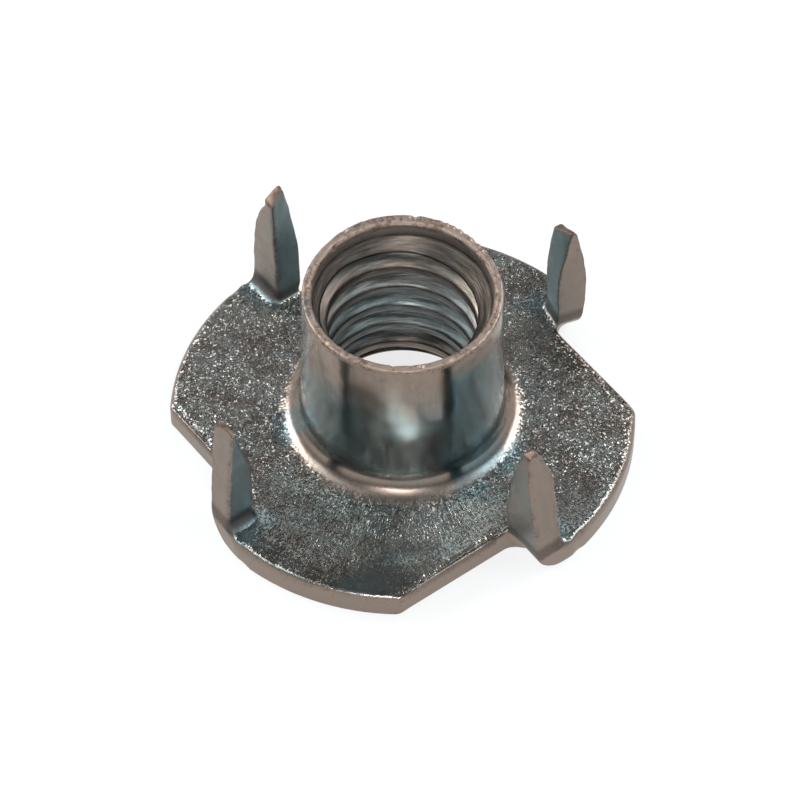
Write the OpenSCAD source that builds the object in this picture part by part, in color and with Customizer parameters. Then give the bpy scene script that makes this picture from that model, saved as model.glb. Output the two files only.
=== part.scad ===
// Four-prong tee nut, pressed from one piece of sheet steel.
// Millimetres, +Z up. The flange's underside is on Z = 0 and the barrel stands on the Z axis.
// The four prongs are numbered counter-clockwise, seen from the barrel's side.

/* [Flange] */
// Diameter of the round blank that the four lobes keep
flange_d = 25.4; // [22:0.1:31]
// Thickness of the sheet
sheet_t = 1.6; // [1.3:0.05:1.95]
// How far inside the rim each straight lance cut runs
lance_depth = 2.64; // [2.4:0.02:3]
// Radius of each lobe's free corner, seen from above
corner_r = 0.6; // [0.3:0.05:0.9]
// Rollover left by the blanking punch on the lobes' top edge
rollover_r = 0.35; // [0.1:0.05:0.5]

/* [Thread] */
// Diameter over the thread's crests, 3/8 in
thread_d = 9.525; // [8:0.005:11.5]
// Thread pitch, 16 turns to the inch
thread_pitch = 1.5875; // [1.25:0.0125:2]
// Gap between the bore and the sharp thread's basic minor radius
crest_gap = 0.1; // [0:0.02:0.2]
// Gap between the plain counterbore and the thread's major radius
relief_gap = 0.04; // [0:0.02:0.2]
// Depth of that counterbore
relief_h = 1.3; // [0.8:0.1:2]

/* [Barrel] */
// Wall of the drawn barrel, measured at its foot outside the counterbore
wall_t = 0.73; // [0.6:0.01:1]
// Height of the rim over the flange's underside
nut_h = 11.4; // [9.5:0.1:14]
// Length of the lead-in taper under the rim
taper_h = 4; // [2:0.1:5]
// Wall lost to that taper at the rim
taper_in = 0.2; // [0:0.02:0.24]
// Fillet where the barrel rises out of the flange
root_r = 1.35; // [0.8:0.05:1.6]
// Radius of the bore's drawn mouth in the underside
mouth_r = 2.6; // [1.6:0.1:3.1]
// Rounding of the rim's outer edge
rim_r = 0.25; // [0.1:0.05:0.3]

/* [Prongs] */
// Direction of the first prong, measured from the first lobe's corner
prong_az = 37; // [34:0.5:38]
// Inside radius of the bend at each prong's root
bend_r = 0.7; // [0.4:0.05:1]
// Radius of the web left at the end of each lance cut
web_r = [1.3, 0.9, 0.9, 0.9]; // [0.4:0.05:1.4]
// How far each prong's outer face stands before the middle of its lance cut
lead = [0.7, 0.55, 0.55, 0.55]; // [0.3:0.05:0.9]
// Skew of each prong's fold line, seen from above
skew = [-9, 0, 0, 0]; // [-10:0.5:10]
// Shear of each prong's inner edge outside its lance cut
in_trim = [0.55, 0.04, 0.74, 0.04]; // [0.02:0.02:0.9]
// Shear of each prong's outer edge inside the flange's rim
out_trim = [0.2, 0.3, 0.4, 0.2]; // [0.16:0.02:0.5]
// Height at which the prongs begin to narrow
shoulder_h = 4.2; // [3.5:0.1:5]
// Height of each prong's tip over the underside
tip_h = [8.9, 9.5, 9.3, 9.1]; // [7.5:0.1:11.4]
// Distance of each tip outside its lance cut
tip_out = [1.44, 1.4, 1.54, 1.24]; // [1.2:0.02:1.7]
// Width of each tip
tip_w = [0.4, 0.2, 0.5, 0.5]; // [0.2:0.1:0.6]
// Place of each tip's edge across the sheet, as a share of it from the outer face
tip_edge = [0, 0.3, 0.9, 0]; // [0:0.1:1]
// Drop of the chisel bevels beside that edge, both together
bevel = [1.1, 2.4, 0.5, 1]; // [0:0.1:2.4]

/* [Hidden] */
$fn = 96;
// Overlap where two shapes would only touch.
eps = 0.02;
flange_r = flange_d / 2;
lance_r = flange_r - lance_depth;
bore_r = (thread_d - 1.0825 * thread_pitch) / 2 + crest_gap;
relief_r = thread_d / 2 + relief_gap;
lead_in_h = relief_r - bore_r;
barrel_r = relief_r + wall_t;
rim_out_r = barrel_r - taper_in;
bend_out_r = bend_r + sheet_t;
// The fold line stops this far inside the rim, so that no prong's root shows past the disc.
root_step = 0.05;
// Flat run of each prong's root into the disc, past its fold line.
root_run = 0.3;
steel = [0.62, 0.63, 0.62];

// Distance from the middle of a lance cut to the line where prong i's bend starts.
function fold_y(i) = bend_out_r - lead[i];

// Distance from the axis at which that fold line ends, just inside the rim.
function fold_out_r(i) = sqrt(pow(flange_r, 2) - pow(fold_y(i), 2)) - root_step;

// Distance from the middle of the lance cut to where the web meets the bend, halfway round it.
function web_y(i) = fold_y(i) - bend_out_r * cos(45);

// Radius of the arc that leaves a straight edge and reaches `inset` in over a length of `run`.
function easing_r(inset, run) = (run * run + inset * inset) / (2 * inset);

// Square piece with a concave quarter circle: fillets add it, roundings take it away.
module spandrel(r) {
    difference() {
        square(r);
        translate([r, r]) circle(r);
    }
}

// Half section of the drawn cup: disc, barrel, fillet, mouth, bore and counterbore.
module cup_section() {
    difference() {
        union() {
            square([flange_r, sheet_t]);
            polygon([[0, 0], [barrel_r, 0], [barrel_r, nut_h - taper_h],
                     [rim_out_r, nut_h - rim_r], [rim_out_r, nut_h], [0, nut_h]]);
            translate([barrel_r, sheet_t]) spandrel(root_r);
        }
        translate([flange_r, sheet_t]) rotate(180) spandrel(rollover_r);
        translate([rim_out_r, nut_h]) rotate(180) spandrel(rim_r);
        square([bore_r, nut_h]);
        translate([bore_r, 0]) spandrel(mouth_r);
        polygon([[bore_r, nut_h - relief_h - lead_in_h], [relief_r, nut_h - relief_h],
                 [relief_r, nut_h + 1], [bore_r, nut_h + 1]]);
    }
}

// Moves a child drawn about the middle of the fold line to its place on prong i.
module on_fold(i) {
    translate([(lance_r + fold_out_r(i)) / 2, fold_y(i)]) rotate(skew[i]) children();
}

// Plan of what the press lances free beside prong i: up to its fold, less the web in the corner.
module lance_plan(i) {
    difference() {
        translate([lance_r, -flange_r]) square([flange_r, 2 * flange_r]);
        on_fold(i) translate([-flange_r, 0]) square(2 * flange_r);
        translate([lance_r, web_y(i)]) difference() {
            translate([-1, -web_r[i]]) square([1 + web_r[i], flange_r]);
            translate([web_r[i], -web_r[i]]) circle(web_r[i]);
        }
    }
    corner_plan();
}

// Plan of the sliver outside a lobe's rounded free corner.
module corner_plan() {
    centre = [lance_r - corner_r, -sqrt(pow(flange_r - corner_r, 2) - pow(lance_r - corner_r, 2))];
    to_rim = flange_r / (flange_r - corner_r);
    difference() {
        polygon([centre, [lance_r, centre.y], [flange_r, centre.y - corner_r], centre * to_rim]);
        translate(centre) circle(corner_r);
    }
}

// Section of prong i across its fold line: flat root, quarter bend and bevelled blade.
module bend_section(i) {
    box = 2 * bend_out_r + 2;
    blade_h = tip_h[i] - bend_out_r;
    translate([0, bend_out_r]) {
        difference() {
            circle(bend_out_r);
            circle(bend_r);
            translate([0, -box / 2]) square(box);
            translate([-box / 2, 0]) square(box);
        }
        translate([0, -bend_out_r]) square([root_run, sheet_t]);
        polygon([[-bend_out_r, 0], [-bend_r, 0],
                 [-bend_r, blade_h - bevel[i] * (1 - tip_edge[i])],
                 [-bend_out_r + sheet_t * tip_edge[i], blade_h],
                 [-bend_out_r, blade_h - bevel[i] * tip_edge[i]]]);
    }
}

// Outline of prong i seen square to its face: near straight at the root, narrowing in two arcs.
module blade_outline(i) {
    in_r = lance_r + in_trim[i];
    out_r = flange_r - out_trim[i];
    tip_r = lance_r + tip_out[i];
    run = tip_h[i] - shoulder_h;
    in_arc = easing_r(tip_r - tip_w[i] / 2 - in_r, run);
    out_arc = easing_r(out_r - tip_r - tip_w[i] / 2, run);
    difference() {
        polygon([[lance_r - eps, 0], [fold_out_r(i), 0], [out_r, shoulder_h], [out_r, tip_h[i]],
                 [in_r, tip_h[i]], [in_r, bend_out_r], [lance_r - eps, sheet_t - eps]]);
        translate([in_r, shoulder_h]) difference() {
            square([tip_r - in_r, run + 1]);
            translate([in_arc, 0]) circle(in_arc);
        }
        translate([out_r, shoulder_h]) mirror([1, 0]) difference() {
            square([out_r - tip_r, run + 1]);
            translate([out_arc, 0]) circle(out_arc);
        }
    }
}

module prong(i) {
    on_fold(i) translate([-(lance_r + fold_out_r(i)) / 2, 0]) intersection() {
        translate([lance_r - 1, 0]) rotate([90, 0, 90]) linear_extrude(flange_r) bend_section(i);
        rotate([90, 0, 0]) linear_extrude(flange_r, center = true) blade_outline(i);
    }
}

module tee_nut() color(steel) {
    difference() {
        rotate_extrude() cup_section();
        for (i = [0:3]) rotate(prong_az + 90 * i)
            translate([0, 0, -1]) linear_extrude(sheet_t + 2) lance_plan(i);
    }
    for (i = [0:3]) rotate(prong_az + 90 * i) prong(i);
}

tee_nut();
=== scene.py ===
"""Zinc-plated steel tee nut: one pressed sheet with a drawn, threaded barrel and four lanced prongs."""

import math

import bmesh
import bpy
import numpy as np
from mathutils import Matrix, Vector
from mathutils.geometry import delaunay_2d_cdt
from mathutils.kdtree import KDTree
from mathutils.noise import noise_vector, seed_set


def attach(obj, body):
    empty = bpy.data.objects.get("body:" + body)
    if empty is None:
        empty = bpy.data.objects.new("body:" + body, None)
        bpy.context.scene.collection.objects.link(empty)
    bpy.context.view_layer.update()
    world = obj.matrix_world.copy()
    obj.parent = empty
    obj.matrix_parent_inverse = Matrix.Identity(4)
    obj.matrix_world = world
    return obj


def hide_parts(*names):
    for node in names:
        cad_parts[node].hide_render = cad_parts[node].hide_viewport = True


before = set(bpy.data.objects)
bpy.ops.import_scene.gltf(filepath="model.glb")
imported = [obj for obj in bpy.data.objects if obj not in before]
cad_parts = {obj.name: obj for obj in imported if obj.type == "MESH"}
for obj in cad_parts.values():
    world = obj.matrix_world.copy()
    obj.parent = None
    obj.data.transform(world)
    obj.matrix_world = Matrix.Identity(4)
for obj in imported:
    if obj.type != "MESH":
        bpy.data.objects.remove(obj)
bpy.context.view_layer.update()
# Without a fixed seed the noise starts from the clock, and the metal comes out a little different each time.
seed_set(1)

# ---------------------------------------------------------------- sizes, in millimetres and degrees
MM = 0.001
TURN = 2 * math.pi

# The plate: a round blank, lanced on four lines at one distance from the axis.
FLANGE_R = 12.69
SHEET_T = 1.6
LANCE_R = 10.06
CORNER_R = 0.6
WEB_END = 125
ROLLOVER = 0.34
EDGE_BAND = 0.5
PLATE_HOLE_R = 7.3
PLATE_GRID = 0.36
PLATE_GAP = 0.2

# The barrel, its rim and the counterbore above the first turn of thread. Nothing rises above the ceiling.
NUT_H = 11.38
CEILING = 11.395
BARREL_R = 5.5325
RIM_OUT_R = 5.3325
ROOT_R = 1.35
RIM_R = 0.13
LIP_R = 0.26
RIM_Z = 10.95
RIM_ZONE_R = 6
RELIEF_R = 4.8025
RELIEF_Z = 10.5

# The 3/8-16 thread. Crest and root are shares of the pitch, and the start is in turns.
BORE_R = 4.003
LEAD_IN_Z = RELIEF_Z - (RELIEF_R - BORE_R)
MOUTH_R = 2.6
THREAD_PITCH = 1.5875
THREAD_ROOT_R = 4.76
THREAD_Z = (0.5, RELIEF_Z + 0.02)
CREST_SHARE = 0.30
ROOT_SHARE = 0.10
THREAD_START = -0.88
AROUND = 256
WELD = 0.001

# The prongs: their bend, the azimuth of the first, how far they lie inside the plate's faces, and their tips.
BEND_R = 0.7
BEND_OUT_R = BEND_R + SHEET_T
PRONG_AZ = 37
PRONG_SINK = 0.006
TIP_ROUND = 0.26
TIP_WIDTH = 0.34

# The creases at their roots: how far the rounding reaches, its rounds and the share of the way moved in each,
# and the edge lengths below which edges are merged and above which they are halved.
ROOT_REACH = 0.85
ROOT_ROUNDS = 30
ROOT_PULL = 0.6
ROOT_SHORT = 0.01
ROOT_LONG = 0.16

# One entry per prong, counter-clockwise from the back right one.
# - lead: how far the blade's outer face stands clockwise of the line that it is set out on.
# - web: the radius that its lance cut ends on.
# - skew, twist: how far the whole prong and its upper half are turned.
# - tone: how much of the painted blue reflection its flat faces take.
# - edge: the tip line's place across the sheet, from the outer face.
# - bevels: the drops from that line to the outer and the inner face.
# - slant: how far the upper parts of the two ends are moved towards the axis on the inner face.
# - inner, outer: how far the two ends stand in from the lance cut and from the rim at some heights.
PRONGS = [
    dict(lead=0.70, web=1.3, skew=-14, twist=10, height=8.95, tone=0,
         edge=0.08, bevels=(0.1, 0.8), slant=(0, 0.3),
         inner=[(0, 0.78), (2.4, 0.84), (4.2, 0.77), (5.7, 0.77), (7.1, 0.98), (8.2, 1.22), (9.2, 1.32)],
         outer=[(0, 0.3), (2, 0.28), (3.4, 0.1), (4.4, 0.1), (6.1, 0.27), (7.6, 0.64), (8.6, 0.9),
                (9.2, 1.08)]),
    dict(lead=0.55, web=0.9, skew=0, twist=0, height=9.72, tone=0.1,
         edge=0.3, bevels=(2.0, 0.45), slant=(0.7, 0.28),
         inner=[(0, 0.05), (5.2, 0.1), (6.2, 0.36), (7, 0.78), (8.2, 0.98), (9.7, 1.05)],
         outer=[(0, 0.12), (4, 0.32), (6.1, 0.46), (7.2, 0.7), (8.2, 0.98), (9.2, 1.38), (9.7, 1.7)]),
    dict(lead=0.55, web=0.9, skew=0, twist=0, height=9.25, tone=0.9,
         edge=0.6, bevels=(0.5, 0.2), slant=(-0.12, 0),
         inner=[(0, 0.5), (2.4, 0.74), (3.8, 0.62), (5, 0.6), (6.7, 0.8), (8.2, 1.24), (9.2, 1.46)],
         outer=[(0, 0.1), (2.4, 0.32), (4.5, 0.44), (6.2, 0.55), (7.9, 0.72), (9.2, 0.86)]),
    dict(lead=0.55, web=0.9, skew=0, twist=0, height=9.48, tone=0.4,
         edge=0.34, bevels=(0.25, 2.3), slant=(0, 0),
         inner=[(0, 0.03), (2.3, -0.04), (4.5, -0.14), (6.7, 0.18), (8.9, 0.86), (9.5, 1.05)],
         outer=[(0, 0.1), (2.7, 0.13), (3.9, 0.38), (5.6, 0.68), (6.9, 0.98), (8.4, 1.12), (9.5, 1.14)]),
]

# Nicks in the rim: azimuth, distance from the axis, reach and depth.
RIM_MARKS = [
    (83, 5.3, 0.24, 0.34), (71, 5.4, 0.2, 0.07), (66, 5.4, 0.2, 0.1), (61.5, 5.4, 0.18, 0.08),
    (57.5, 5.4, 0.2, 0.12), (52, 5.4, 0.22, 0.14), (48, 5.4, 0.18, 0.1), (43, 5.35, 0.26, 0.16),
    (37, 5.35, 0.2, 0.1), (32, 5.35, 0.28, 0.2), (139, 4.75, 0.3, 0.14), (126, 5.25, 0.2, 0.07),
    (-96, 4.82, 0.2, 0.12), (-79, 5.1, 0.14, 0.12), (-60, 5.3, 0.2, 0.06), (-112, 5.3, 0.22, 0.05),
    (-140, 5.3, 0.25, 0.06), (-158, 4.85, 0.2, 0.08), (168, 5.3, 0.22, 0.05),
]


def smooth(x):
    """0 below 0, 1 above 1, and a soft step between them."""
    x = np.clip(x, 0, 1)
    return x * x * (3 - 2 * x)


def arc(centre, radius, start, end, step=0.12):
    """Points along a circular arc, angles in degrees."""
    count = max(2, int(abs(math.radians(end - start)) * radius / step) + 1)
    a = np.radians(np.linspace(start, end, count))
    return np.column_stack([centre[0] + radius * np.cos(a), centre[1] + radius * np.sin(a)])


def line(start, end, step=0.14):
    """Points along a straight line."""
    count = max(2, int(math.dist(start, end) / step) + 1)
    return np.linspace(start, end, count)


def turned(points, degrees):
    """Plan points turned about the axis."""
    a = math.radians(degrees)
    return points @ np.array([[math.cos(a), math.sin(a)], [-math.sin(a), math.cos(a)]])


def mesh_object(name, verts, faces):
    """A new object from points in millimetres."""
    mesh = bpy.data.meshes.new(name)
    mesh.from_pydata((np.asarray(verts) * MM).tolist(), [], faces)
    mesh.update()
    obj = bpy.data.objects.new(name, mesh)
    bpy.context.scene.collection.objects.link(obj)
    return obj


def grid_faces(rows, columns):
    """Quads between rows of points that run round a closed ring."""
    out = []
    for r in range(rows - 1):
        for c in range(columns):
            n = (c + 1) % columns
            a, b = r * columns, (r + 1) * columns
            out.append((a + c, a + n, b + n, b + c))
    return out


# ---------------------------------------------------------------- flange
def fold_y(prong):
    """Where a prong's bend starts along its lance cut, before it is turned to its place."""
    return BEND_OUT_R - prong["lead"]


def flange_outline():
    """Plan of the plate, counter-clockwise, with each point's share of blanked rim and of the edge band."""
    points, rim, roots = [], [], []
    corner_x = LANCE_R - CORNER_R
    corner = np.array([corner_x, -math.sqrt((FLANGE_R - CORNER_R) ** 2 - corner_x**2)])
    corner_az = math.degrees(math.atan2(corner[1], corner[0]))
    for i, prong in enumerate(PRONGS):
        web = prong["web"]
        web_at = np.array([LANCE_R + web, fold_y(prong) - BEND_OUT_R * math.cos(math.pi / 4) - web])
        torn = arc(web_at, web, 180, WEB_END)
        root_y = fold_y(prong) - 0.15
        root = np.array([math.sqrt(FLANGE_R**2 - root_y**2), root_y])
        before_y = fold_y(PRONGS[i - 1]) - 0.15
        lobe_from = math.degrees(math.asin(before_y / FLANGE_R)) - 90
        parts = [
            (arc((0, 0), FLANGE_R, lobe_from, corner_az)[1:], 1),
            (arc(corner, CORNER_R, corner_az, 0, 0.08)[1:], 0.5),
            (line((LANCE_R, corner[1]), torn[0])[1:], 0),
            (torn[1:], 0),
            (line(torn[-1], root)[1:], 0),
        ]
        for part, kind in parts:
            points.append(turned(part, PRONG_AZ + 90 * i))
            rim.append(np.full(len(part), kind, float))
        roots.append(points[-1][-1])
    points, rim = np.vstack(points), np.concatenate(rim)
    for _ in range(6):
        rim = (np.roll(rim, 1) + 2 * rim + np.roll(rim, -1)) / 4
    near_root = np.min([np.hypot(*(points - r).T) for r in roots], 0)
    return points, rim, np.clip(near_root / 0.9, 0.1, 1)


def edge_section():
    """Two sections of the sheet's edge, as inset and height from the top face to the underside."""
    turn = np.radians(np.linspace(0, 90, 7))
    rolled = np.column_stack([ROLLOVER * (1 - np.sin(turn)), SHEET_T - ROLLOVER * (1 - np.cos(turn))])
    burr = np.column_stack([0.07 * (1 - np.cos(turn[::2])), 0.07 * (1 - np.sin(turn[::2]))])
    wall = [(0, z) for z in (1.0, 0.75, 0.5, 0.25)]
    top, bottom = [(EDGE_BAND, SHEET_T), (0.42, SHEET_T)], [(0.25, 0), (EDGE_BAND, 0)]
    blanked = np.vstack([top, rolled, wall, burr, bottom])
    lip = [(EDGE_BAND, 0), (0.42, -0.01), (0.34, -0.03), (0.26, -0.045), (0.18, -0.03), (0.12, 0.0),
           (0.07, 0.012), (0.02, 0.0), (0, -0.05)]
    lip = [(inset, SHEET_T + rise) for inset, rise in lip]
    under = np.column_stack([0.2 * (1 - np.cos(turn[::2])), 0.2 * (1 - np.sin(turn[::2]))])
    lanced = np.vstack([lip, wall, under, [(0.35, 0), (EDGE_BAND, 0)]])
    return blanked, lanced


def inside(points, loop):
    """Which points lie inside a closed loop."""
    x, y = points[:, 0, None], points[:, 1, None]
    a, b = loop, np.roll(loop, -1, 0)
    crosses = (a[:, 1] > y) != (b[:, 1] > y)
    at = a[:, 0] + (y - a[:, 1]) * (b[:, 0] - a[:, 0]) / np.where(a[:, 1] == b[:, 1], 1, b[:, 1] - a[:, 1])
    return (crosses & (x < at)).sum(1) % 2 == 1


def find_nearest(points):
    """A tree that finds the nearest of these points."""
    tree = KDTree(len(points))
    for i, p in enumerate(points):
        tree.insert(p, i)
    tree.balance()
    return tree


def fill_plate(loop, ring):
    """Triangles between the plate's inset loop and the ring round the barrel, over a fine lattice."""
    row = PLATE_GRID * 0.87
    lattice = np.array([
        (-FLANGE_R + PLATE_GRID * (i + 0.5 * (j % 2)), -FLANGE_R + row * j)
        for j in range(int(2 * FLANGE_R / row) + 1)
        for i in range(int(2 * FLANGE_R / PLATE_GRID) + 1)
    ])
    lattice = lattice[inside(lattice, loop) & (np.hypot(*lattice.T) > PLATE_HOLE_R + PLATE_GAP)]
    border = np.vstack([loop, ring])
    near = find_nearest([(*p, 0) for p in border])
    lattice = np.array([p for p in lattice if near.find((*p, 0))[2] > PLATE_GAP])
    points = np.vstack([border, lattice])
    n, m = len(loop), len(ring)
    edges = [(i, (i + 1) % n) for i in range(n)] + [(n + i, n + (i + 1) % m) for i in range(m)]
    verts, _, faces, _, _, _ = delaunay_2d_cdt([Vector(p) for p in points], edges, [], 0, 1e-6)
    verts = np.array([tuple(v) for v in verts])
    middle = np.array([verts[list(f)].mean(0) for f in faces])
    keep = inside(middle, loop) & (np.hypot(*middle.T) > PLATE_HOLE_R * math.cos(math.pi / AROUND) - 1e-4)
    upwards = []
    for f in (list(f) for f, k in zip(faces, keep) if k):
        a, b, c = (verts[i] for i in f)
        area = (b[0] - a[0]) * (c[1] - a[1]) - (b[1] - a[1]) * (c[0] - a[0])
        upwards.append(f if area > 0 else f[::-1])
    return verts, upwards


# ---------------------------------------------------------------- barrel
def mouth_radius(z):
    """Radius of the bore's drawn mouth at a height."""
    d = np.clip(MOUTH_R - z, 0, MOUTH_R)
    return BORE_R + MOUTH_R - np.sqrt(MOUTH_R**2 - d**2)


def barrel_outside():
    """Section of the barrel from the plate up the fillet, the wall and over the rim into the counterbore."""
    fillet = arc((BARREL_R + ROOT_R, SHEET_T + ROOT_R), ROOT_R, 270, 180)
    wall = line((BARREL_R, SHEET_T + ROOT_R), (RIM_OUT_R, NUT_H - RIM_R), 0.24)[1:]
    outer = arc((RIM_OUT_R - RIM_R, NUT_H - RIM_R), RIM_R, 0, 90, 0.06)[1:]
    inner = arc((RELIEF_R + LIP_R, NUT_H - LIP_R), LIP_R, 90, 180, 0.05)
    relief = line((RELIEF_R, NUT_H - LIP_R), (RELIEF_R, THREAD_Z[1]), 0.1)[1:]
    return np.vstack([[(PLATE_HOLE_R, SHEET_T)], fillet, wall, outer, inner, relief])


def barrel_mouth():
    """Section of the drawn mouth from the foot of the thread out to the underside of the plate."""
    z = np.linspace(THREAD_Z[0], 0, 8)
    return np.vstack([np.column_stack([mouth_radius(z), z]), [(PLATE_HOLE_R, 0)]])


def revolve(section):
    """Rings of points that carry a section of radius and height round the axis."""
    a = np.linspace(0, TURN, AROUND, endpoint=False)
    return np.array([(r * math.cos(t), r * math.sin(t), z) for r, z in section for t in a])


# ---------------------------------------------------------------- thread, by geometry nodes
def add(tree, kind, inputs=None, **settings):
    """Adds a node with its settings and links. A node given as an input stands for its first output."""
    new = tree.nodes.new(kind)
    for name, value in settings.items():
        setattr(new, name, value)
    for key, value in (inputs or {}).items():
        if isinstance(value, bpy.types.Node):
            value = value.outputs[0]
        if isinstance(value, bpy.types.NodeSocket):
            tree.links.new(value, new.inputs[key])
        else:
            new.inputs[key].default_value = value
    return new


def thread_tree():
    """Wraps a strip of fine rows round the helix and presses the V groove into it."""
    tree = bpy.data.node_groups.new("cut_thread", "GeometryNodeTree")
    tree.interface.new_socket("Geometry", in_out="OUTPUT", socket_type="NodeSocketGeometry")
    lengths = {"Bore Radius": BORE_R, "Root Radius": THREAD_ROOT_R, "Relief Radius": RELIEF_R,
               "Mouth Radius": MOUTH_R, "Lead-in Height": LEAD_IN_Z, "Pitch": THREAD_PITCH,
               "Bottom": THREAD_Z[0], "Top": THREAD_Z[1]}
    shares = {"Crest Share": CREST_SHARE, "Root Share": ROOT_SHARE, "Start": THREAD_START}
    for name, value in {**{k: v * MM for k, v in lengths.items()}, **shares}.items():
        tree.interface.new_socket(name, in_out="INPUT", socket_type="NodeSocketFloat").default_value = value
    for name, value in {"Around": AROUND, "Rows per Turn": 18, "Turns": 8}.items():
        tree.interface.new_socket(name, in_out="INPUT", socket_type="NodeSocketInt").default_value = value
    tree.interface.new_socket("Material", in_out="INPUT", socket_type="NodeSocketMaterial")
    size = add(tree, "NodeGroupInput").outputs
    maths = "ShaderNodeMath"

    columns = add(tree, maths, {0: size["Around"], 1: 1.0}, operation="ADD")
    rows = add(tree, maths, {0: size["Rows per Turn"], 1: size["Turns"], 2: 1.0}, operation="MULTIPLY_ADD")
    strip = add(tree, "GeometryNodeMeshGrid", {
        "Size X": 1.0, "Size Y": 1.0, "Vertices X": columns, "Vertices Y": rows})
    place = add(tree, "ShaderNodeSeparateXYZ", {0: add(tree, "GeometryNodeInputPosition")})
    turn = add(tree, maths, {0: place.outputs["X"], 1: 0.5}, operation="ADD")
    across = add(tree, maths, {0: place.outputs["Y"], 1: 0.5}, operation="ADD")
    pitches = add(tree, maths, {0: across, 1: size["Turns"]}, operation="MULTIPLY")

    climb = add(tree, maths, {0: pitches, 1: turn}, operation="ADD")
    climb = add(tree, maths, {0: climb, 1: size["Start"]}, operation="ADD")
    climb = add(tree, maths, {0: climb, 1: size["Pitch"]}, operation="MULTIPLY")
    height = add(tree, "ShaderNodeClamp", {"Value": climb, "Min": size["Bottom"], "Max": size["Top"]})

    # The groove: 1 at its root, 0 on the crest, with both corners eased as a forming tap leaves them.
    phase = add(tree, maths, {0: pitches, 1: 1.0, 2: 0.0}, operation="WRAP")
    off_root = add(tree, maths, {0: phase, 1: 0.5}, operation="SUBTRACT")
    off_root = add(tree, maths, {0: off_root}, operation="ABSOLUTE")
    half_root = add(tree, maths, {0: size["Root Share"], 1: 0.5}, operation="MULTIPLY")
    half_crest = add(tree, maths, {0: size["Crest Share"], 1: -0.5, 2: 0.5}, operation="MULTIPLY_ADD")
    ramp = {"Value": off_root, 1: half_root, 2: half_crest, 3: 1.0, 4: 0.0}
    flank = add(tree, "ShaderNodeMapRange", ramp)
    eased = add(tree, "ShaderNodeMapRange", ramp, interpolation_type="SMOOTHSTEP")
    groove = add(tree, "ShaderNodeMix", {"Factor": 0.45, "A": flank, "B": eased})
    depth = add(tree, maths, {0: size["Root Radius"], 1: size["Bore Radius"]}, operation="SUBTRACT")
    groove = add(tree, maths, {0: groove, 1: depth, 2: size["Bore Radius"]}, operation="MULTIPLY_ADD")

    # What the tap cuts into: the drawn mouth below, the bore, and the lead-in cone under the counterbore.
    below = add(tree, maths, {0: size["Mouth Radius"], 1: height}, operation="SUBTRACT")
    below = add(tree, maths, {0: below, 1: 0.0}, operation="MAXIMUM")
    sine = add(tree, maths, {0: below, 1: size["Mouth Radius"]}, operation="DIVIDE")
    cosine = add(tree, maths, {0: add(tree, maths, {0: sine}, operation="ARCSINE")}, operation="COSINE")
    flare = add(tree, maths, {0: 1.0, 1: cosine}, operation="SUBTRACT")
    above = add(tree, maths, {0: height, 1: size["Lead-in Height"]}, operation="SUBTRACT")
    above = add(tree, maths, {0: above, 1: 0.0}, operation="MAXIMUM")
    bore = add(tree, maths, {0: flare, 1: size["Mouth Radius"], 2: above}, operation="MULTIPLY_ADD")
    bore = add(tree, maths, {0: bore, 1: size["Bore Radius"]}, operation="ADD")
    bore = add(tree, maths, {0: bore, 1: size["Relief Radius"]}, operation="MINIMUM")
    mouth = add(tree, maths, {
        0: flare, 1: size["Mouth Radius"], 2: size["Bore Radius"]}, operation="MULTIPLY_ADD")
    bore = add(tree, maths, {0: bore, 1: mouth}, operation="MAXIMUM")
    radius = add(tree, maths, {0: bore, 1: groove}, operation="MAXIMUM")

    angle = add(tree, maths, {0: turn, 1: TURN}, operation="MULTIPLY")
    x = add(tree, maths, {0: angle}, operation="COSINE")
    x = add(tree, maths, {0: x, 1: radius}, operation="MULTIPLY")
    y = add(tree, maths, {0: angle}, operation="SINE")
    y = add(tree, maths, {0: y, 1: radius}, operation="MULTIPLY")
    point = add(tree, "ShaderNodeCombineXYZ", {"X": x, "Y": y, "Z": height})
    wall = add(tree, "GeometryNodeSetPosition", {"Geometry": strip, "Position": point})
    wall = add(tree, "GeometryNodeMergeByDistance", {"Geometry": wall, "Distance": WELD * MM})
    wall = add(tree, "GeometryNodeRealizeInstances", {"Geometry": wall})
    wall = add(tree, "GeometryNodeSetMaterial", {"Geometry": wall, "Material": size["Material"]})
    add(tree, "NodeGroupOutput", {"Geometry": wall})
    return tree


def thread_wall(material):
    """The thread as a plain mesh: points in millimetres and faces."""
    seed = mesh_object("thread_seed", [(0, 0, 0)], [])
    cutter = seed.modifiers.new("cut_thread", "NODES")
    cutter.node_group = thread_tree()
    for item in cutter.node_group.interface.items_tree:
        if item.in_out == "INPUT" and item.name == "Material":
            cutter[item.identifier] = material
    made = evaluated_mesh(seed)
    verts = np.array([v.co for v in made.vertices]) / MM
    faces = [list(p.vertices) for p in made.polygons]
    bpy.data.objects.remove(seed)
    bpy.data.meshes.remove(made)
    return verts, faces


# ---------------------------------------------------------------- prongs
def eased(marks, at):
    """Smooth curve through marks of height and offset: straight between them, then rounded by averaging."""
    heights, offsets = np.array(marks).T
    near = at + np.linspace(-0.8, 0.8, 9)
    past_end = np.clip(near - heights[-1], 0, None)
    curve = np.interp(near, heights, offsets)
    curve += past_end * (offsets[-1] - offsets[-2]) / (heights[-1] - heights[-2])
    return float(curve.mean())


def blade_ends(prong, z):
    """Distances from the axis to the blade's two ends at a height."""
    return LANCE_R + eased(prong["inner"], z), FLANGE_R - eased(prong["outer"], z)


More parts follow.
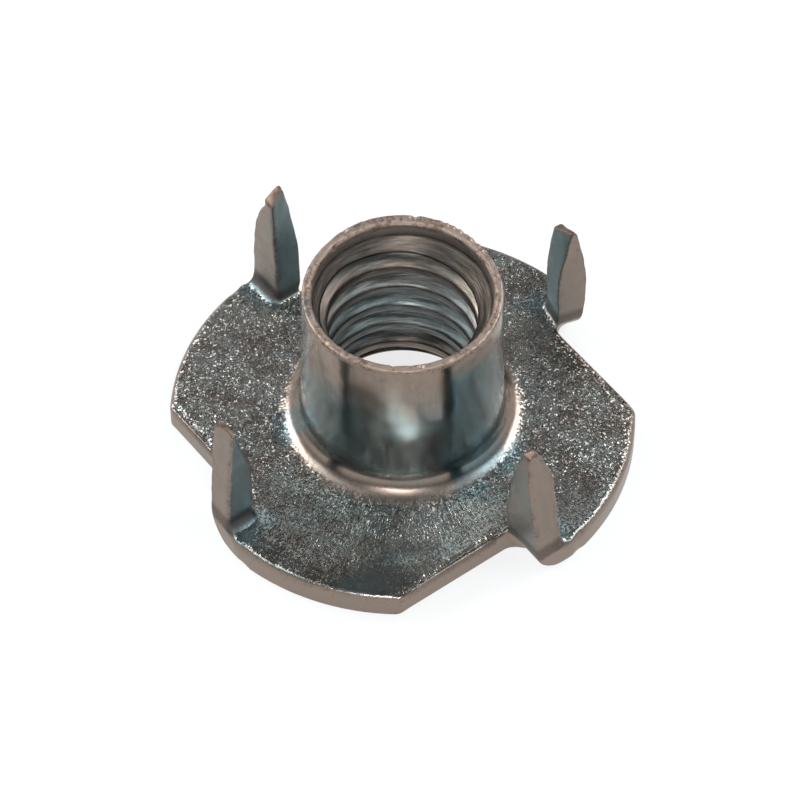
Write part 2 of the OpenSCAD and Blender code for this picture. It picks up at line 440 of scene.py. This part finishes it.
def rounded_ring(width, thick, sharp=0.07, soft=0.16):
    """Points round a sheet's section, from its lower left corner: burr side below, rollover side above."""
    edges_on_sides = (9, 6, 9, 6)
    sharp = min(sharp, 0.45 * thick, 0.45 * width)
    soft = min(soft, 0.45 * thick, 0.45 * width)
    corners = [
        ((sharp, sharp), sharp, 180), ((width - sharp, sharp), sharp, 270),
        ((width - soft, thick - soft), soft, 0), ((soft, thick - soft), soft, 90),
    ]
    points = []
    for i, (centre, radius, start) in enumerate(corners):
        a = np.radians(np.linspace(start, start + 90, 5))
        points.extend(np.column_stack([centre[0] + radius * np.cos(a), centre[1] + radius * np.sin(a)]))
        centre, radius, start = corners[(i + 1) % 4]
        angle = math.radians(start)
        goal = (centre[0] + radius * math.cos(angle), centre[1] + radius * math.sin(angle))
        points.extend(np.linspace(points[-1], goal, edges_on_sides[i] + 1)[1:-1])
    return np.array(points)


def prong_stations(height):
    """Where a prong's sections stand: on the plate, at angles round the bend, and at heights up the blade."""
    top = height - 0.02
    blade = np.concatenate([np.arange(BEND_OUT_R + 0.2, top - 0.9, 0.2), np.linspace(top - 0.9, top, 13)])
    stations = [("root", -0.35), ("root", -0.12)]
    stations += [("bend", a) for a in np.linspace(0, 90, 19)]
    return stations + [("blade", z) for z in blade]


def prong_section(prong, kind, at):
    """Points round one section of a prong: along the fold, away from it on the plate's side, and up."""
    low, high, close = 0, SHEET_T, 1.0
    if kind == "root":
        middle = SHEET_T / 2
    elif kind == "bend":
        middle = BEND_OUT_R - (BEND_R + SHEET_T / 2) * math.cos(math.radians(at))
    else:
        # Near the tip the chisel bevels thin the sheet, and its last part is rounded over.
        middle, drop = at, prong["height"] - at
        edge = SHEET_T * prong["edge"]
        low = edge * (1 - min(1, drop / prong["bevels"][0]))
        high = SHEET_T - (SHEET_T - edge) * (1 - min(1, drop / prong["bevels"][1]))
        close = math.sqrt(max(0.03, 1 - max(0, 1 - drop / TIP_ROUND) ** 2))
    left, right = blade_ends(prong, middle)
    right = max(right, left + TIP_WIDTH)
    width, thick = (right - left) * close, max(high - low, 0.2) * close
    ring = rounded_ring(width, thick)
    along = (left + right) / 2 + ring[:, 0] - width / 2
    through = (low + high) / 2 + ring[:, 1] - thick / 2
    share, slant = ring[:, 0] / width, prong["slant"]
    lean = slant[0] * smooth((middle - 5.2) / 3) * (1 - share)
    lean += slant[1] * smooth((middle - 7.4) / 1.8) * share
    along -= lean * np.clip(through / SHEET_T, 0, 1)
    # The faces lie a little inside the plate's, so that the two cross cleanly where they are joined.
    through = PRONG_SINK + through * (SHEET_T - 2 * PRONG_SINK) / SHEET_T
    if kind == "root":
        away, up = np.full(len(along), -at), through
    elif kind == "bend":
        radius, angle = BEND_OUT_R - through, math.radians(at)
        away, up = -radius * math.sin(angle), BEND_OUT_R - radius * math.cos(angle)
    else:
        away, up = -BEND_OUT_R + through, np.full(len(along), at)
    return np.column_stack([along, away, up])


def prong_mesh(index):
    """One prong as a closed loft: flat root, quarter bend and blade."""
    prong = PRONGS[index]
    rings = [prong_section(prong, kind, at) for kind, at in prong_stations(prong["height"])]
    columns = len(rings[0])
    verts = place_prong(np.array(rings).reshape(-1, 3), index)
    verts += sheared(verts) * smooth((verts[:, 2:] - SHEET_T) / 2)
    last = (len(rings) - 1) * columns
    caps = [list(range(columns))[::-1], [last + c for c in range(columns)]]
    return verts, grid_faces(len(rings), columns) + caps


def sheared(points):
    """Small wander of sheared and bent metal: long soft waves with a finer tear on them."""
    points = [Vector(p) for p in points]
    return np.array([0.05 * noise_vector(p * 0.9) + 0.015 * noise_vector(p * 3.1) for p in points])


def place_prong(points, index):
    """Moves points from a prong's fold line to its place on the nut, skewed and twisted as it was bent."""
    prong = PRONGS[index]
    middle = (LANCE_R + math.sqrt(FLANGE_R**2 - fold_y(prong) ** 2) - 0.05) / 2
    along, away, z = points.T
    along = along - middle
    skew = np.radians(prong["skew"] + prong["twist"] * smooth((z - 4) / 5))
    pivot = -BEND_OUT_R * smooth(z / BEND_OUT_R) + 0.5 * SHEET_T * smooth(z / BEND_OUT_R)
    away = away - pivot
    base = math.radians(prong["skew"])
    x = along * np.cos(skew) - away * np.sin(skew) - pivot * math.sin(base)
    y = along * np.sin(skew) + away * np.cos(skew) + pivot * math.cos(base)
    plan = turned(np.column_stack([x + middle, y + fold_y(prong)]), PRONG_AZ + 90 * index)
    return np.column_stack([plan, z])


# ---------------------------------------------------------------- the whole nut
def cup_mesh(material):
    """Plate, barrel and thread as one closed mesh."""
    loop, rim, share = flange_outline()
    ahead = np.roll(loop, -1, 0) - np.roll(loop, 1, 0)
    inward = np.column_stack([-ahead[:, 1], ahead[:, 0]]) / np.linalg.norm(ahead, axis=1)[:, None]
    blanked, lanced = edge_section()
    section = blanked[:, None] * rim[None, :, None] + lanced[:, None] * (1 - rim)[None, :, None]
    band = loop[None] + inward[None] * section[:, :, :1] * share[None, :, None]
    band = np.concatenate([band, section[:, :, 1:]], 2)
    ring = np.array([(PLATE_HOLE_R * math.cos(a), PLATE_HOLE_R * math.sin(a))
                     for a in np.linspace(0, TURN, AROUND, endpoint=False)])
    plate, faces = fill_plate(band[0, :, :2], ring)
    outside, mouth = barrel_outside(), barrel_mouth()
    parts = [
        (np.column_stack([plate, np.full(len(plate), SHEET_T)]), faces),
        (np.column_stack([plate, np.zeros(len(plate))]), [f[::-1] for f in faces]),
        (band.reshape(-1, 3), grid_faces(len(band), len(loop))),
        (revolve(outside), grid_faces(len(outside), AROUND)),
        (revolve(mouth), grid_faces(len(mouth), AROUND)),
        thread_wall(material),
    ]
    verts, faces, first = [], [], 0
    for points, polygons in parts:
        verts.append(points)
        faces += [[first + i for i in f] for f in polygons]
        first += len(points)
    return np.vstack(verts), faces


def welded(name, verts, faces):
    """A closed object: doubles merged, then every face turned outwards."""
    obj = mesh_object(name, verts, faces)
    bm = bmesh.new()
    bm.from_mesh(obj.data)
    bmesh.ops.remove_doubles(bm, verts=bm.verts, dist=WELD * MM)
    bmesh.ops.recalc_face_normals(bm, faces=bm.faces)
    bm.to_mesh(obj.data)
    bm.free()
    return obj


def split_faces(bm):
    """Cuts every face with more than three corners into triangles."""
    bmesh.ops.triangulate(bm, faces=[f for f in bm.faces if len(f.verts) > 3])


def soften_roots(bm, known):
    """Rounds the creases where the prongs grow out of the plate, as the bend draws the sheet there.

    known holds the points that were there before the parts were joined, so any other point is on a crease."""
    before = find_nearest(known)
    crease = find_nearest([v.co / MM for v in bm.verts if before.find(v.co / MM)[2] > 2e-4])

    def pull():
        away = np.array([crease.find(v.co / MM)[2] for v in bm.verts])
        return smooth(1 - away / ROOT_REACH)

    # Even out the triangles near the creases: the joining leaves slivers there.
    split_faces(bm)
    for _ in range(2):
        close = [v for v, weight in zip(bm.verts, pull()) if weight > 0]
        short = list(dict.fromkeys(e for v in close for e in v.link_edges))
        bmesh.ops.dissolve_degenerate(bm, dist=ROOT_SHORT * MM, edges=short)
        split_faces(bm)
        bm.verts.index_update()
        weight = pull()
        long = [e for e in bm.edges if e.calc_length() > ROOT_LONG * MM
                and max(weight[v.index] for v in e.verts) > 0]
        bmesh.ops.subdivide_edges(bm, edges=long, cuts=1)
        split_faces(bm)
        bm.verts.index_update()
    # Then move each point towards the middle of its neighbours, most of all on the crease itself.
    weight = pull()[:, None]
    ends = np.array([[v.index for v in e.verts] for e in bm.edges])
    place = np.array([v.co for v in bm.verts])
    neighbours = np.bincount(ends.ravel(), minlength=len(place))[:, None]
    for _ in range(ROOT_ROUNDS):
        total = np.zeros_like(place)
        np.add.at(total, ends[:, 0], place[ends[:, 1]])
        np.add.at(total, ends[:, 1], place[ends[:, 0]])
        place += ROOT_PULL * weight * (total / neighbours - place)
    for v, p in zip(bm.verts, place):
        v.co = p


def dished(place):
    """The plate's top face falls away a little towards the blanked rim, most of all on the front lobe."""
    r, z = np.hypot(place[:, 0], place[:, 1]), place[:, 2]
    from_front = np.degrees(np.arctan2(place[:, 0], -place[:, 1])) + 12
    depth = 0.06 + 0.09 * smooth(1.6 - np.abs(from_front) / 30)
    fall = depth * np.clip((r - 10.3) / 2.4, 0, 1) ** 2 * smooth((z - 0.2) / 1.2) * smooth((2.6 - z) / 0.9)
    out = place.copy()
    out[:, 2] -= fall
    return out


def battered(place):
    """Tumbling in the plating barrel has nicked the thin rim, and the die has flared its back a little."""
    r, z = np.hypot(place[:, 0], place[:, 1]), place[:, 2]
    turn = np.degrees(np.arctan2(place[:, 1], place[:, 0]))
    out = place.copy()
    near = smooth((RIM_ZONE_R - r) / 0.3) * smooth((z - 8) / 3.4)
    flare = 0.17 * smooth(1.5 - np.abs(turn - 88) / 40) * near * smooth((r - 4.9) / 0.3)
    out[:, :2] *= (1 + flare / np.maximum(r, 1))[:, None]
    top = smooth((z - RIM_Z) / 0.35) * (r < RIM_ZONE_R)
    for at, ring, reach, depth in RIM_MARKS:
        spot = ring * np.array([math.cos(math.radians(at)), math.sin(math.radians(at))])
        away = np.hypot(*(out[:, :2] - spot).T)
        out[:, 2] -= depth * np.clip(1 - away / reach, 0, 1) ** 0.8 * top
    rough = np.array([noise_vector(Vector(p) * 3.5) if k > 0 else (0, 0, 0) for p, k in zip(out, top)])
    out += 0.022 * rough * top[:, None]
    out[:, 2] = np.minimum(out[:, 2], CEILING)
    return out


def evaluated_mesh(obj):
    """A plain mesh of the object with its modifiers applied."""
    bpy.context.view_layer.update()
    return bpy.data.meshes.new_from_object(obj.evaluated_get(bpy.context.evaluated_depsgraph_get()))


def make_nut(material):
    """The finished nut: cup and prongs in one skin, roots softened, plate dished and rim battered."""
    nut = welded("tee_nut_body", *cup_mesh(material))
    known = [v.co / MM for v in nut.data.vertices]
    for i in range(len(PRONGS)):
        prong = welded(f"prong_{i}", *prong_mesh(i))
        known += [v.co / MM for v in prong.data.vertices]
        join = nut.modifiers.new("join", "BOOLEAN")
        join.operation, join.solver, join.object = "UNION", "MANIFOLD", prong
        joined = evaluated_mesh(nut)
        nut.modifiers.clear()
        nut.data = joined
        bpy.data.objects.remove(prong)
    bm = bmesh.new()
    bm.from_mesh(nut.data)
    soften_roots(bm, known)
    rim = [e for e in bm.edges
           if all(v.co.z > RIM_Z * MM and v.co.xy.length < RIM_ZONE_R * MM for v in e.verts)]
    bmesh.ops.subdivide_edges(bm, edges=rim, cuts=1)
    split_faces(bm)
    bmesh.ops.recalc_face_normals(bm, faces=bm.faces)
    bm.to_mesh(nut.data)
    bm.free()
    place = np.array([v.co for v in nut.data.vertices]) / MM
    nut.data.vertices.foreach_set("co", (battered(dished(place)) * MM).ravel())
    nut.data.update()
    for polygon in nut.data.polygons:
        polygon.use_smooth = True
    nut.data.materials.clear()
    nut.data.materials.append(material)
    return nut


# ---------------------------------------------------------------- finish
def linear(code):
    """A hex colour in sRGB as linear red, green, blue and alpha."""
    parts = [int(code[i : i + 2], 16) / 255 for i in (1, 3, 5)]
    return (*((c / 12.92 if c <= 0.04045 else ((c + 0.055) / 1.055) ** 2.4) for c in parts), 1)


def edge_sharpness(mesh, normal):
    """The largest change of normal along any edge at each point."""
    ends = np.zeros(2 * len(mesh.edges), int)
    mesh.edges.foreach_get("vertices", ends)
    ends = ends.reshape(-1, 2)
    change = np.linalg.norm(normal[ends[:, 0]] - normal[ends[:, 1]], axis=1)
    sharp = np.zeros(len(normal))
    np.maximum.at(sharp, ends[:, 0], change)
    np.maximum.at(sharp, ends[:, 1], change)
    return sharp


def fold_and_tone(place):
    """How far each point is in a prong's stretched fold, and how much painted blue its prong's faces take."""
    z = place[:, 2]
    fold, tone = np.zeros(len(place)), np.zeros(len(place))
    for i, shape in enumerate(PRONGS):
        across, along = turned(place[:, :2], -PRONG_AZ - 90 * i).T
        past = along - fold_y(shape)
        stretched = smooth(1.5 - np.abs(past + 0.2) / 0.7) * smooth((across - LANCE_R + 0.7) / 0.9)
        fold = np.maximum(fold, stretched * smooth((z - 1.3) / 0.3))
        tone += shape["tone"] * smooth((across - 8.8) / 0.4) * (np.abs(past + 1) < 3.2)
    return fold, tone


def mark_surface(nut):
    """Writes the finish of each point as nine attributes from 0 to 1, which the steel reads.

    rolled is the mill's grain, blue the thick passivation on the plate and a painted reflection on the barrel
    and prongs, worn the rubbed edges, matt the rough surfaces, bore the inside, bright painted light, dark
    painted shade and the prongs' darker tips, streaked the drawn metal, and groove
    the thread."""
    mesh = nut.data
    place = np.array([v.co for v in mesh.vertices]) / MM
    normal = np.array([v.normal for v in mesh.vertices])
    x, y, z = place.T
    r = np.hypot(x, y)
    turn = np.degrees(np.arctan2(y, x))
    outward = (normal[:, 0] * x + normal[:, 1] * y) / np.maximum(r, 0.1)
    fold, tone = fold_and_tone(place)

    # The parts of the nut, each 1 inside its own part and 0 outside, with a soft border.
    flat = smooth((np.abs(normal[:, 2]) - 0.55) / 0.35)
    plate = smooth((r - 6.1 + 1.4 * smooth((1 - z) / 0.5)) / 0.65) * smooth((2.4 - z) / 0.5)
    face = flat * plate
    barrel = smooth((7.3 - r) / 0.5) * smooth((z - 0.5) / 1.0)
    bore = smooth((5.0 - r) / 0.1)
    rim = smooth((z - RIM_Z) / 0.3) * smooth((RIM_ZONE_R - r) / 0.3)
    relief = bore * smooth((z - RELIEF_Z - 0.02) / 0.08) * (1 - rim)
    cone = bore * smooth((z - LEAD_IN_Z + 0.9) / 0.8) * smooth((RELIEF_Z + 0.04 - z) / 0.06)
    thread = bore * smooth((9.9 - z) / 0.2)
    root = thread * smooth((r - 4.66) / 0.07)
    prong = smooth((r - 9) / 0.5) * smooth((z - 1.7) / 0.5)
    tip = prong * smooth((normal[:, 2] - 0.3) / 0.2) * smooth((z - 7) / 1)
    nook = fold * smooth((0.985 - normal[:, 2]) / 0.15) * smooth((3 - z) / 0.8)
    crease = smooth((r - 8) / 0.5) * (1 - flat) * smooth((2.7 - z) / 0.5) * smooth((z - 1.4) / 0.2)

    # The barrel's foot, where the die has burnished the fillet. Painted shade lies on the foot's front and on
    # the lower front of the barrel above it.
    foot = smooth((r - 5.75) / 0.3) * smooth((7 - r) / 0.6)
    foot *= smooth((2.3 - z) / 0.4) * smooth((z - 0.8) / 0.5)
    front_foot = foot * smooth((-3.6 - y) / 1.6)
    low_front = barrel * smooth(1.7 - np.abs(x - 0.4) / 1.5) * (y < 0)
    low_front *= smooth((6.6 - z) / 1.2) * smooth((z - 2.7) / 0.9)
    # Painted reflections, blue and darker, in runs down the barrel's two sides.
    painted_reflection_runs = barrel * smooth((turn + 65) / 4) * smooth((-10 - turn) / 30)
    painted_reflection_runs *= smooth((10.8 - z - 0.02 * (turn + 61)) / 1.2)
    painted_reflection_runs += 0.7 * barrel * smooth((-156 - turn) / 6) * smooth((turn + 180) / 4)
    # The front lobe is smoother in a band across it, with a painted highlight behind that, and the right lobe
    # has painted shade.
    band = x - 1.65 - 1.5 * (y + 9.4)
    sheen = smooth(1.5 - np.abs(band) / 2) * smooth((-8.9 - y) / 0.5) * face
    glow = smooth(1.4 - np.abs(x - 2.6) / 2.6) * (0.8 + 0.2 * smooth((-8.7 - y) / 0.8))
    glow *= smooth((-6 - y) / 0.8) * smooth((y + 11.8) / 1)
    painted_shade_right_lobe = smooth((x - 5) / 3) * smooth((y + 0.5) / 4) * face
    # The left of the bore has painted shade.
    painted_shade_left_bore = bore * smooth((-1.5 - x) / 1.6) * (1 - rim) * (1 - relief)

    edges = 0.5 * smooth((edge_sharpness(mesh, normal) - 0.12) / 0.3) * (1 - bore)
    upright = smooth(-1.1 * outward) + tone * (1 - np.abs(outward))
    marks = {
        "rolled": face * (1 - 0.45 * fold) * (1 - 0.6 * sheen),
        # blue is passivation on the plate, and a painted reflection on the barrel, the prongs' faces and the
        # runs.
        "blue": 0.85 * barrel * smooth((9.8 - z) / 3.6) * smooth((z - 2.1) / 1.0)
                + (prong + crease) * upright * (1 - tip)
                + (0.45 + 0.3 * fold + 0.2 * sheen + 0.1 * glow) * face
                - 0.6 * relief - 0.2 * bore + 0.4 * nook + painted_reflection_runs,
        "worn": np.maximum.reduce([0.75 * rim, 0.3 * foot, 0.9 * tip, 0.2 * crease, edges]),
        "matt": 0.62 * bore + 0.9 * rim + 0.35 * prong + 0.5 * tip + 0.6 * crease + 0.5 * nook
                + 0.2 * foot + 0.3 * front_foot + 0.4 * (1 - flat) * smooth(r - 8),
        "bore": bore,
        # bright is painted light on the counterbore wall and the rim, and a painted highlight on the front
        # lobe.
        "bright": relief + 0.25 * rim + 0.6 * glow * face,
        # dark: painted shade in the bore, at the prongs' roots, on the barrel and the right lobe; darker
        # tips.
        "dark": 0.8 * cone + 0.35 * root + 0.3 * painted_reflection_runs + tip + 0.75 * crease + 0.65 * nook
                + low_front + 0.65 * painted_shade_right_lobe + 0.6 * front_foot + 0.7 * painted_shade_left_bore,
        "streaked": 0.22 * prong + 0.25 * barrel,
        "groove": thread * smooth((r - 4.35) / 0.3),
    }
    for name, value in marks.items():
        attribute = mesh.attributes.new(name, "FLOAT", "POINT")
        attribute.data.foreach_set("value", np.clip(value, 0, 1).astype(np.float32))


def zinc_plated_steel():
    """Bright zinc over cold-rolled steel, barrel-plated after pressing.

    The eye gets a grey mirror that is blue where the passivation is thick and brown where it is rubbed, with
    the mill's sparkling grain left on the flat plate and drawn into streaks round the barrel. Painted
    reflections tint the barrel and prongs blue, and painted light and shade lighten and darken parts of it."""
    material = bpy.data.materials.new("zinc_plated_steel")
    material.use_nodes = True
    tree = material.node_tree
    tree.nodes.clear()
    maths, vectors = "ShaderNodeMath", "ShaderNodeVectorMath"
    here = add(tree, "ShaderNodeTexCoord").outputs["Object"]
    here = add(tree, vectors, {0: here, 1: (1 / MM,) * 3}, operation="MULTIPLY")
    x, y, z = add(tree, "ShaderNodeSeparateXYZ", {0: here}).outputs
    radius = add(tree, maths, {0: y, 1: y}, operation="MULTIPLY")
    radius = add(tree, maths, {0: x, 1: x, 2: radius}, operation="MULTIPLY_ADD")
    radius = add(tree, maths, {0: radius, 1: 0.5}, operation="POWER")
    turn = add(tree, maths, {0: y, 1: x}, operation="ARCTAN2")
    marks = ("rolled", "blue", "worn", "matt", "bore", "bright", "dark", "streaked", "groove")
    rolled, blue, worn, matt, bore, bright, dark, streaked, groove = (
        add(tree, "ShaderNodeAttribute", attribute_name=name).outputs["Fac"] for name in marks)

    # Mill grain: real crystals are under 0.05 mm, drawn at 0.1 mm to show. Each one is a small facet.
    crystals = add(tree, "ShaderNodeTexVoronoi", {"Vector": here, "Scale": 10.5}, feature="F1")
    facet = add(tree, vectors, {0: crystals.outputs["Color"], 1: (0.5, 0.5, 0.5)}, operation="SUBTRACT")
    patches = add(tree, "ShaderNodeTexNoise", {
        "Vector": here, "Scale": 0.9, "Detail": 4.0, "Roughness": 0.65})
    grain = add(tree, "ShaderNodeTexNoise", {"Vector": here, "Scale": 5.0, "Detail": 3.0, "Roughness": 0.7})
    # Draw streaks run out from the barrel, about 0.2 mm apart at the rim and 0.7 mm long.
    along = add(tree, "ShaderNodeCombineXYZ", {
        "X": add(tree, maths, {0: turn, 1: 75.0}, operation="MULTIPLY"),
        "Y": add(tree, maths, {0: radius, 1: 1.4}, operation="MULTIPLY")})
    streaks = add(tree, "ShaderNodeTexNoise", {
        "Vector": along, "Scale": 1.0, "Detail": 2.0, "Roughness": 0.6})
    drawn = add(tree, "ShaderNodeMapRange", {"Value": y, 1: -4.0, 2: -8.0, 3: 0.0, 4: 1.0})
    height = add(tree, "ShaderNodeMix", {"Factor": drawn, "A": grain, "B": streaks})
    # The die draws upright lines, 0.2 mm apart on the barrel and 0.4 mm on the prongs. The tap tears lines
    # along its groove, 0.15 mm apart.
    upright = add(tree, "ShaderNodeCombineXYZ", {
        "X": add(tree, maths, {0: turn, 1: 26.0}, operation="MULTIPLY"),
        "Y": add(tree, maths, {0: z, 1: 0.7}, operation="MULTIPLY"), "Z": radius})
    level = add(tree, "ShaderNodeCombineXYZ", {
        "X": add(tree, maths, {0: turn, 1: 2.6}, operation="MULTIPLY"),
        "Y": add(tree, maths, {0: z, 1: 6.5}, operation="MULTIPLY"),
        "Z": add(tree, maths, {0: radius, 1: 4.0}, operation="MULTIPLY")})
    way = add(tree, "ShaderNodeMix", {0: bore, 4: upright, 5: level}, data_type="VECTOR").outputs[1]
    lines = add(tree, "ShaderNodeTexNoise", {"Vector": way, "Scale": 1.0, "Detail": 4.0, "Roughness": 0.65})
    height = add(tree, "ShaderNodeMix", {"Factor": rolled, "A": lines, "B": height})
    depth = add(tree, maths, {0: rolled, 1: 0.028, 2: 0.005}, operation="MULTIPLY_ADD")
    depth = add(tree, maths, {0: bore, 1: 0.022, 2: depth}, operation="MULTIPLY_ADD")
    height = add(tree, maths, {0: height, 1: depth}, operation="MULTIPLY")
    # Soft dents 2 mm across, left by tumbling and by the draw.
    dents = add(tree, "ShaderNodeTexNoise", {"Vector": here, "Scale": 0.55, "Detail": 1.0, "Roughness": 0.5})
    height = add(tree, maths, {0: dents, 1: 0.045, 2: height}, operation="MULTIPLY_ADD")
    bump = add(tree, "ShaderNodeBump", {"Height": height, "Strength": 1.0, "Distance": MM})
    tilt = add(tree, maths, {0: drawn, 1: -0.27, 2: 0.52}, operation="MULTIPLY_ADD")
    tilt = add(tree, maths, {0: rolled, 1: tilt}, operation="MULTIPLY")
    facet = add(tree, vectors, {0: facet, "Scale": tilt}, operation="SCALE")
    facing = add(tree, vectors, {0: bump, 1: facet}, operation="ADD")
    facing = add(tree, vectors, {0: facing}, operation="NORMALIZE")

    clouds = add(tree, "ShaderNodeTexNoise", {"Vector": here, "Scale": 0.45, "Detail": 4.0, "Roughness": 0.6})
    tint = add(tree, maths, {0: clouds, 1: 0.8, 2: -0.4}, operation="MULTIPLY_ADD")
    tint = add(tree, maths, {0: blue, 1: tint}, operation="ADD", use_clamp=True)
    # Clear zinc is a warm grey, and the passivation turns it blue; on the barrel and the prongs the blue is a
    # painted reflection. The coats below are laid over it in turn.
    colour = add(tree, "ShaderNodeMix", {
        0: tint, 6: linear("#8a7c71"), 7: linear("#76878a")}, data_type="RGBA")
    stained = add(tree, "ShaderNodeMapRange", {"Value": patches, 1: 0.45, 2: 0.6, 3: 0.0, 4: 0.65})
    stained = add(tree, maths, {0: stained, 1: rolled}, operation="MULTIPLY")
    # In the bore, darker patches along the tap's lines: torn metal, and painted shade inside the bore.
    torn = add(tree, "ShaderNodeMapRange", {"Value": lines, 1: 0.38, 2: 0.6, 3: 0.05, 4: 0.75})
    torn = add(tree, maths, {0: torn, 1: bore}, operation="MULTIPLY")
    drag = add(tree, "ShaderNodeMapRange", {"Value": lines, 1: 0.42, 2: 0.66, 3: 0.0, 4: 0.6})
    drag = add(tree, maths, {0: drag, 1: streaked}, operation="MULTIPLY")
    specks = add(tree, "ShaderNodeMapRange", {"Value": grain, 1: 0.6, 2: 0.7, 3: 0.0, 4: 0.4})
    specks = add(tree, maths, {0: specks, 1: add(tree, maths, {0: 1.0, 1: rolled}, operation="SUBTRACT")},
                 operation="MULTIPLY")
    grime = add(tree, maths, {0: patches, 1: grain}, operation="ADD")
    grime = add(tree, "ShaderNodeMapRange", {"Value": grime, 1: 0.98, 2: 1.14, 3: 0.0, 4: 0.8})
    coats = (
        (stained, "#5c4f47"),
        (torn, "#45403c"),
        (drag, "#4c5152"),
        # A darker teal in the thread's grooves is painted shade.
        (add(tree, maths, {0: groove, 1: 0.4}, operation="MULTIPLY"), "#4b6064"),
        # The next two coats lay the painted shade and the painted light.
        (add(tree, maths, {0: dark, 1: 0.7}, operation="MULTIPLY"), "#2e2a28"),
        (add(tree, maths, {0: bright, 1: 0.8}, operation="MULTIPLY"), "#c4b6ab"),
        (add(tree, maths, {0: worn, 1: 0.4}, operation="MULTIPLY"), "#8f7365"),
        (specks, "#54443b"),
        (add(tree, maths, {0: grime, 1: worn}, operation="MULTIPLY"), "#4a3328"),
    )
    for share, coat in coats:
        colour = add(tree, "ShaderNodeMix", {
            0: share, 6: colour.outputs[2], 7: linear(coat)}, data_type="RGBA")
    rough = add(tree, maths, {0: rolled, 1: 0.04, 2: 0.12}, operation="MULTIPLY_ADD")
    rough = add(tree, maths, {0: matt, 1: 0.38, 2: rough}, operation="MULTIPLY_ADD")
    rough = add(tree, maths, {0: clouds, 1: 0.14, 2: rough}, operation="MULTIPLY_ADD")
    shader = add(tree, "ShaderNodeBsdfPrincipled", {
        "Base Color": colour.outputs[2], "Metallic": 1.0, "Roughness": rough, "Normal": facing})
    add(tree, "ShaderNodeOutputMaterial", {"Surface": shader})
    return material


# ---------------------------------------------------------------- stage
def set_camera():
    """Looks down at the nut from in front with a long lens."""
    data = bpy.data.cameras.new("camera")
    data.sensor_width, data.lens = 36, 188.93
    data.clip_start, data.clip_end = 0.01, 10
    camera = bpy.data.objects.new("camera", data)
    camera.location = (-0.000136, -0.142017, 0.180924)
    camera.rotation_euler = (math.radians(38.49), 0, 0)
    bpy.context.scene.collection.objects.link(camera)
    bpy.context.scene.camera = camera


def softbox(name, place, size, power, colour, roll=0):
    """A lit rectangle that faces the nut, rolled about its own beam in degrees."""
    data = bpy.data.lights.new(name, "AREA")
    data.shape, data.size, data.size_y = "RECTANGLE", size[0], size[1]
    data.energy, data.color = power, colour
    lamp = bpy.data.objects.new(name, data)
    lamp.location = place
    lamp.rotation_euler = (-Vector(place)).to_track_quat("-Z", "Y").to_euler()
    lamp.rotation_euler.rotate_axis("Z", math.radians(roll))
    bpy.context.scene.collection.objects.link(lamp)


def white_table():
    """Paper that looks evenly white with a faint shadow, and sends light back as plain paper does."""
    material = bpy.data.materials.new("white_table")
    material.use_nodes = True
    tree = material.node_tree
    tree.nodes.clear()
    maths = "ShaderNodeMath"
    paper = add(tree, "ShaderNodeBsdfDiffuse", {"Color": (0.8, 0.8, 0.8, 1)})
    shade = add(tree, "ShaderNodeBsdfDiffuse", {"Color": (0.14, 0.14, 0.14, 1)})
    path = add(tree, "ShaderNodeLightPath").outputs
    seen = add(tree, maths, {0: path["Is Camera Ray"], 1: path["Is Glossy Ray"]}, operation="ADD")
    seen = add(tree, maths, {0: seen, 1: path["Is Transmission Ray"]}, operation="ADD")
    glow = add(tree, "ShaderNodeEmission", {"Color": (1, 1, 1, 1), "Strength": 0.8})
    lit = add(tree, "ShaderNodeAddShader", {0: shade, 1: glow})
    shown = add(tree, "ShaderNodeMixShader", {0: seen, 1: paper, 2: lit})
    # From below the table is clear, so that the underside can be looked at.
    back = add(tree, "ShaderNodeNewGeometry").outputs["Backfacing"]
    shown = add(tree, "ShaderNodeMixShader", {0: back, 1: shown, 2: add(tree, "ShaderNodeBsdfTransparent")})
    add(tree, "ShaderNodeOutputMaterial", {"Surface": shown})
    return material


def studio_dome():
    """A sky that is white at the horizon and grey overhead, which the steel mirrors."""
    world = bpy.data.worlds.new("studio")
    world.use_nodes = True
    tree = world.node_tree
    tree.nodes.clear()
    way = add(tree, "ShaderNodeSeparateXYZ", {0: add(tree, "ShaderNodeTexCoord").outputs["Generated"]})
    dome = add(tree, "ShaderNodeValToRGB", {0: way.outputs["Z"]})
    stops = dome.color_ramp.elements
    stops[0].position, stops[0].color = 0.12, (1, 1, 1, 1)
    stops[1].position, stops[1].color = 0.95, (0.16, 0.18, 0.19, 1)
    stops.new(0.45).color = (0.31, 0.33, 0.345, 1)
    sky = add(tree, "ShaderNodeBackground", {"Color": dome, "Strength": 1.0})
    add(tree, "ShaderNodeOutputWorld", {"Surface": sky})
    return world


def set_stage():
    """White table, grey dome and six lamps: a pair behind, a cool pair at the sides and two small ones."""
    # The table runs to the horizon, 10 mm below the nut, so that the shadow is soft.
    half, below = 900, -0.01
    corners = [(-half, -half, below), (half, -half, below), (half, half, below), (-half, half, below)]
    floor = mesh_object("floor", corners, [(0, 1, 2, 3)])
    floor.data.materials.append(white_table())
    bpy.context.scene.world = studio_dome()
    softbox("left_softbox", (-0.33, 0.20, 0.30), (0.24, 0.2), 1.9, (0.98, 0.99, 1.0))
    softbox("right_softbox", (0.31, 0.22, 0.30), (0.2, 0.2), 1.5, (0.98, 0.99, 1.0))
    softbox("left_fill", (-0.36, -0.06, 0.45), (0.3, 0.3), 1.1, (0.80, 0.94, 1.0))
    softbox("right_fill", (0.36, -0.06, 0.45), (0.3, 0.3), 1.5, (0.80, 0.94, 1.0))
    softbox("front_softbox", (-0.016, -0.342, 0.321), (0.2, 0.05), 1.15, (0.96, 0.98, 1.0), 22)
    softbox("back_softbox", (0.02, 0.31, 0.39), (0.16, 0.08), 0.1, (0.94, 0.98, 1.0))
    bpy.context.scene.view_settings.view_transform = "Standard"


set_camera()
set_stage()
steel = zinc_plated_steel()
nut = make_nut(steel)
mark_surface(nut)
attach(nut, "root")
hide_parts("tee_nut")
